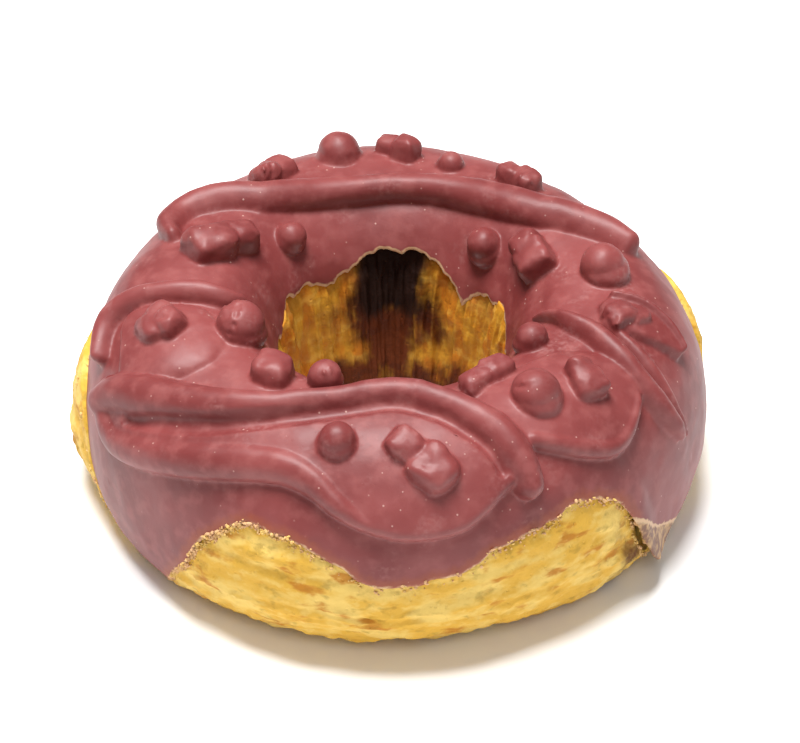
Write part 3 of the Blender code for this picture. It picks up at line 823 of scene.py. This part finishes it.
dough_points = points_of(dough)
offset = dough_points[:, :2] - np.array(RING_CENTRE)
dough_azimuth = np.degrees(np.arctan2(offset[:, 1], offset[:, 0])) % 360
dough_radius, dough_height = np.hypot(*offset.T) / MM, dough_points[:, 2] / MM
in_hole = ease(dough_radius, *HOLE_WALL)
# painted shade: brown on the hole's back wall and low down in the hole
painted_shade = in_hole * np.maximum(bell(dough_azimuth, *HOLE_SHADE), ease(dough_height, *FOOT_SHADE))
# painted shade: brown on the dough in the hollow under the torn lip
painted_shade = np.maximum(painted_shade, HOLLOW_SHADE_SHARE * bell(dough_azimuth, *HOLLOW_SHADE) * (1 - in_hole))
# painted shadow: near black high on the hole's back wall, under the icing's lip
painted_lip_shadow = in_hole * bell(dough_azimuth, *LIP_SHADOW) * ease(dough_height, *LIP_SHADOW_HEIGHT)
add_attribute(dough, "in_hole", in_hole)
add_attribute(dough, "painted_shade", painted_shade)
add_attribute(dough, "painted_lip_shadow", painted_lip_shadow)
add_attribute(dough, "from_edge", from_edge_mm(dough_points, "lower"))
print("hole's share of the dough's points:", round(float(in_hole.mean()), 2))

# %% [markdown]
# ## Finishes from sums
#
# A finish is easier to read as a sum than as a web of nodes. The class below wraps one output of a node,
# so that `0.5 + mask * 2` adds the two Math nodes by itself, and one method adds any other kind of node.

# %% Finishes from sums
class Value:
    """One output of a node, which can be added, multiplied and so on like a number."""

    def __init__(self, finish, output):
        self.finish, self.output = finish, output

    def math(self, operation, first, second):
        return self.finish.node("ShaderNodeMath", {"operation": operation}, {0: first, 1: second})

    def __add__(self, other):
        return self.math("ADD", self, other)

    def __sub__(self, other):
        return self.math("SUBTRACT", self, other)

    def __mul__(self, other):
        return self.math("MULTIPLY", self, other)

    def __rsub__(self, other):
        return self.math("SUBTRACT", other, self)

    def larger(self, other):
        return self.math("MAXIMUM", self, other)

    __radd__ = __add__
    __rmul__ = __mul__

    def rise(self, start, end):
        """0 at the start, 1 at the end, smooth between; the start may be the larger."""
        low, high, first, last = (start, end, 0, 1) if start < end else (end, start, 1, 0)
        settings = {"interpolation_type": "SMOOTHSTEP"}
        sizes = {"Value": self, "From Min": low, "From Max": high, "To Min": first, "To Max": last}
        return self.finish.node("ShaderNodeMapRange", settings, sizes)


class Finish:
    """A Principled material, built up from sums."""

    def __init__(self, name, **constants):
        self.material = bpy.data.materials.new(name)
        self.material.use_nodes = True
        self.tree = self.material.node_tree
        self.shader = self.tree.nodes["Principled BSDF"]
        self.place = self.node("ShaderNodeTexCoord", output="Object")
        for socket, value in constants.items():
            self.shader.inputs[socket.replace("_", " ")].default_value = value

    def node(self, kind, settings=None, sockets=None, output=0):
        """Adds a node: its settings first, then the values or links of its sockets."""
        node = self.tree.nodes.new(kind)
        for name, value in (settings or {}).items():
            setattr(node, name, value)
        for name, value in (sockets or {}).items():
            self.feed(node.inputs[name], value)
        return Value(self, node.outputs[output])

    def feed(self, socket, value):
        if isinstance(value, Value):
            self.tree.links.new(value.output, socket)
        else:
            socket.default_value = value

    def noise(self, size, detail=4, stretch=(1, 1, 1)):
        """Cloudy noise, 0 to 1, with features of the given size in metres."""
        place = self.node("ShaderNodeMapping", {}, {"Vector": self.place, "Scale": stretch})
        sizes = {"Vector": place, "Scale": 1 / size, "Detail": detail}
        return self.node("ShaderNodeTexNoise", {}, sizes, "Fac")

    def spots(self, size):
        """The distance to the nearest of many scattered points, counted in sizes."""
        sizes = {"Vector": self.place, "Scale": 1 / size}
        return self.node("ShaderNodeTexVoronoi", {}, sizes, "Distance")

    def attribute(self, name):
        return self.node("ShaderNodeAttribute", {"attribute_name": name}, {}, "Fac")

    def mix(self, share, first, second):
        """Colour first where share is 0, second where it is 1."""
        pair = [(*colour, 1) if isinstance(colour, tuple) else colour for colour in (first, second)]
        settings = {"data_type": "RGBA", "clamp_factor": True}
        return self.node("ShaderNodeMix", settings, {0: share, 6: pair[0], 7: pair[1]}, 2)

    def bump(self, height, distance, strength):
        sizes = {"Height": height, "Distance": distance, "Strength": strength}
        return self.node("ShaderNodeBump", {}, sizes)

    def dress(self, **sockets):
        """Feeds the shader and returns the material."""
        for name, value in sockets.items():
            self.feed(self.shader.inputs[name.replace("_", " ")], value)
        return self.material


def wear(obj, material):
    obj.data.materials.clear()
    obj.data.materials.append(material)


print("finishes are ready to write")

# %% [markdown]
# ## The icing's finish
#
# The icing is a satin rose-brown: a chocolate coat with a little bloom. Its colour drifts softly, it is
# rougher and paler where sugar bloomed, and fine pale specks and pores are scattered over it. Close to its
# edges it is thin enough to turn warm, and at the cut it shows the cream of its inside. The torn lip is
# brown and tan, behind a cream line.

# %% The icing's finish
ROSE, ROSE_LIGHT, ROSE_DEEP = (0.212, 0.043, 0.041), (0.260, 0.070, 0.065), (0.158, 0.025, 0.024)
BLOOM, SPECK, CREAM = (0.34, 0.16, 0.15), (0.55, 0.34, 0.29), (0.56, 0.36, 0.20)
THIN, TORN_BROWN, TORN_TAN = (0.27, 0.060, 0.018), (0.16, 0.060, 0.028), (0.46, 0.27, 0.11)


def icing_finish():
    finish = Finish(
        "icing", Coat_Weight=0.03, Coat_Roughness=0.3, Specular_IOR_Level=0.45, IOR=1.45,
        Subsurface_Weight=0.08, Subsurface_Radius=(1.0, 0.3, 0.2), Subsurface_Scale=1.2 * MM,
    )
    drift = finish.noise(14 * MM, 3)
    mottle = finish.noise(2.5 * MM, 5)
    colour = finish.mix(drift.rise(0.35, 0.65), ROSE_DEEP, ROSE)
    colour = finish.mix(mottle.rise(0.42, 0.72) * 0.6, colour, ROSE_LIGHT)
    bloom = finish.noise(6 * MM, 4).rise(0.54, 0.72) * finish.noise(0.7 * MM, 3).rise(0.42, 0.68)
    colour = finish.mix(bloom * 0.3, colour, BLOOM)
    specks = finish.spots(1.6 * MM).rise(0.11, 0.06) * finish.noise(5 * MM, 2).rise(0.44, 0.6)
    colour = finish.mix(specks * 0.6, colour, SPECK)
    ragged_edge = (finish.noise(0.9 * MM, 4) - 0.5) * 1.4
    lower, hole = finish.attribute("from_lower_edge"), finish.attribute("from_hole_edge")
    colour = finish.mix((lower + ragged_edge).rise(2.2, 0.5) * 0.65, colour, THIN)
    torn = finish.attribute("torn")
    torn_colour = finish.mix(finish.noise(1.4 * MM, 4).rise(0.40, 0.62), TORN_BROWN, TORN_TAN)
    colour = finish.mix(torn.rise(0.2, 0.3), colour, CREAM)
    colour = finish.mix(torn.rise(0.4, 0.55), colour, torn_colour)
    patchy = finish.noise(1.6 * MM, 3).rise(0.38, 0.60)
    lower_rim = (lower + ragged_edge * 0.6).rise(0.6, 0.2) * patchy
    rim = lower_rim.larger((hole + ragged_edge * 0.3).rise(0.6, 0.3))
    colour = finish.mix(rim, colour, CREAM)
    pores = finish.spots(0.9 * MM).rise(0.16, 0.05)
    height = finish.noise(1.1 * MM, 4) * 0.5 + finish.noise(0.25 * MM, 2) * 0.15
    height = height - pores * 0.2 + specks * 0.8
    roughness = 0.47 + bloom * 0.2 + rim * 0.3 + mottle * 0.08
    return finish.dress(Base_Color=colour, Roughness=roughness, Normal=finish.bump(height, 0.08 * MM, 0.5))


wear(icing, icing_finish())
print("icing wears", icing.data.materials[0].name)

# %% [markdown]
# ## The dough's finish
#
# The bare dough is a golden yellow with cream spots, ochre streaks along the ring where it caught more
# heat, and small olive shadows in its pits and along the icing's edge. Down in the hole it is a darker
# amber gold, with painted shade: brown round the back and low down, and a painted near-black shadow at
# the back under the lip. Yellow food easily turns orange or olive in a render, so the colours below were
# matched to the real ones. The fringe is paler and drier than the dough.

# %% The dough's finish
YELLOW, PALE, OCHRE, OLIVE = (0.64, 0.37, 0.052), (0.71, 0.49, 0.13), (0.44, 0.17, 0.016), (0.25, 0.16, 0.026)
HOLE_GOLD, HOLE_AMBER = (0.50, 0.23, 0.016), (0.44, 0.13, 0.006)
# the colours of the painted shade and of the painted shadow
SHADE_BROWN, SHADOW_BLACK = (0.080, 0.016, 0.003), (0.012, 0.003, 0.001)
CRUMB_CREAM, CRUMB_GOLD, CRUMB_BROWN = (0.62, 0.37, 0.19), (0.66, 0.44, 0.13), (0.38, 0.19, 0.06)


def dough_finish():
    finish = Finish("dough", Specular_IOR_Level=0.15)
    wide = finish.noise(7 * MM, 4, (1, 1, 2.0))
    fine = finish.noise(2.4 * MM, 4, (1, 1, 1.6))
    colour = finish.mix(wide.rise(0.46, 0.62), YELLOW, PALE)
    streak = finish.noise(5.5 * MM, 4, (1, 1, 2.4)).rise(0.54, 0.68)
    colour = finish.mix(streak * 0.9, colour, OCHRE)
    colour = finish.mix(fine.rise(0.56, 0.74) * 0.5, colour, OLIVE)
    colour = finish.mix(fine.rise(0.46, 0.30) * 0.7, colour, PALE)
    near_edge = (finish.attribute("from_edge") + (wide - 0.5) * 3).rise(2.4, 0.4)
    colour = finish.mix(near_edge * finish.noise(1.1 * MM, 4).rise(0.45, 0.65) * 0.3, colour, OLIVE)
    amber = finish.noise(4 * MM, 4, (1.6, 1.6, 0.6)).rise(0.40, 0.62)
    hole_colour = finish.mix(amber, HOLE_GOLD, HOLE_AMBER)
    hole_colour = finish.mix(fine.rise(0.5, 0.3) * 0.5, hole_colour, YELLOW)
    colour = finish.mix(finish.attribute("in_hole") * 0.85, colour, hole_colour)
    uneven = (finish.noise(6 * MM, 4, (1.3, 1.3, 0.8)) - 0.5) * 2.0
    # painted brown shade in the hole and under the torn lip, then the painted near-black shadow under the
    # back lip
    colour = finish.mix((finish.attribute("painted_shade") + uneven).rise(0.3, 0.95), colour, SHADE_BROWN)
    colour = finish.mix((finish.attribute("painted_lip_shadow") + uneven * 0.4).rise(0.2, 0.7), colour, SHADOW_BLACK)
    height = finish.noise(1.4 * MM, 4) * 0.8 + finish.noise(0.4 * MM, 2) * 0.2
    pits = finish.spots(1.5 * MM).rise(0.2, 0.05)
    normal = finish.bump(height - pits * 0.3, 0.4 * MM, 0.8)
    return finish.dress(Base_Color=colour, Roughness=0.58 + fine * 0.2, Normal=normal)


def fringe_finish():
    finish = Finish("edge_crumbs", Specular_IOR_Level=0.3, Roughness=0.75)
    tint = finish.noise(2.2 * MM, 3)
    colour = finish.mix(tint.rise(0.38, 0.62), CRUMB_CREAM, CRUMB_GOLD)
    colour = finish.mix(finish.noise(0.7 * MM, 2).rise(0.56, 0.70) * 0.8, colour, CRUMB_BROWN)
    return finish.dress(Base_Color=colour)


wear(dough, dough_finish())
wear(fringe, fringe_finish())
print("dough wears", dough.data.materials[0].name, "and the fringe", fringe.data.materials[0].name)

# %% [markdown]
# ## Standing in for the solids
#
# Each fine piece stands for one imported solid, which is hidden, and rides on the one body. The crumbs of
# the fringe stand for no solid of their own and ride on the body too.

# %% Standing in for the solids
for piece, node in ((icing, "icing"), (dough, "dough")):
    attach(piece, "root")
    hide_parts(node)
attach(fringe, "root")
print("pieces:", icing.name, dough.name, fringe.name)

# %% [markdown]
# ## Floor and light
#
# The doughnut stands on a plain white surface in bright, soft light: a large lamp overhead leaves the near
# sides of the pearls and ribbons in soft shade, and a small, weak fill in front lifts the dough.

# %% Floor and light
FLOOR_WHITE, SKY_WHITE, SKY_LIGHT = (0.96, 0.96, 0.96, 1), (1, 1, 1, 1), 0.27

floor = added(bpy.ops.mesh.primitive_plane_add, "floor", size=6.0)
wear(floor, Finish("floor").dress(Base_Color=FLOOR_WHITE, Roughness=0.9))

world = bpy.data.worlds.new("studio")
bpy.context.scene.world = world
world.use_nodes = True
sky = world.node_tree.nodes["Background"]
sky.inputs["Color"].default_value = SKY_WHITE
sky.inputs["Strength"].default_value = SKY_LIGHT


def lamp(name, place, size, power, target=(0, 0, 0.015)):
    light = bpy.data.lights.new(name, "AREA")
    light.shape = "DISK"
    light.size = size
    light.energy = power
    obj = bpy.data.objects.new(name, light)
    bpy.context.scene.collection.objects.link(obj)
    obj.location = place
    obj.rotation_euler = (Vector(target) - Vector(place)).to_track_quat("-Z", "Y").to_euler()


lamp("key", (-0.09, 0.04, 0.84), 0.4, 14.0)
lamp("fill", (0.08, -0.52, 0.6), 0.3, 1.0)
bpy.context.scene.view_settings.view_transform = "Standard"

# %% [markdown]
# ## The camera
#
# The camera looks down at 38 degrees from 450 mm away. Its focal length follows from how many pixels of
# the 800 by 743 picture one millimetre takes at the doughnut's middle, and a small shift puts the doughnut
# where the picture has it.

# %% The camera
IMAGE_WIDTH, IMAGE_HEIGHT = 800, 743
DISTANCE, ELEVATION = 450 * MM, math.radians(38)
PIXELS_PER_MM = 6.88
TARGET = Vector((*RING_CENTRE, 15 * MM))
TARGET_PIXEL = (391, 384.5)
SENSOR_MM = 36

camera = bpy.data.objects.new("camera", bpy.data.cameras.new("camera"))
bpy.context.scene.collection.objects.link(camera)
camera.location = TARGET + DISTANCE * Vector((0, -math.cos(ELEVATION), math.sin(ELEVATION)))
camera.rotation_euler = (math.pi / 2 - ELEVATION, 0, 0)
camera.data.sensor_width = SENSOR_MM
camera.data.lens = PIXELS_PER_MM * (DISTANCE / MM) / IMAGE_WIDTH * SENSOR_MM
camera.data.shift_x = (IMAGE_WIDTH / 2 - TARGET_PIXEL[0]) / IMAGE_WIDTH
camera.data.shift_y = (TARGET_PIXEL[1] - IMAGE_HEIGHT / 2) / IMAGE_WIDTH
camera.data.clip_start = 0.01
bpy.context.scene.camera = camera
print("lens:", round(camera.data.lens, 1), "mm")
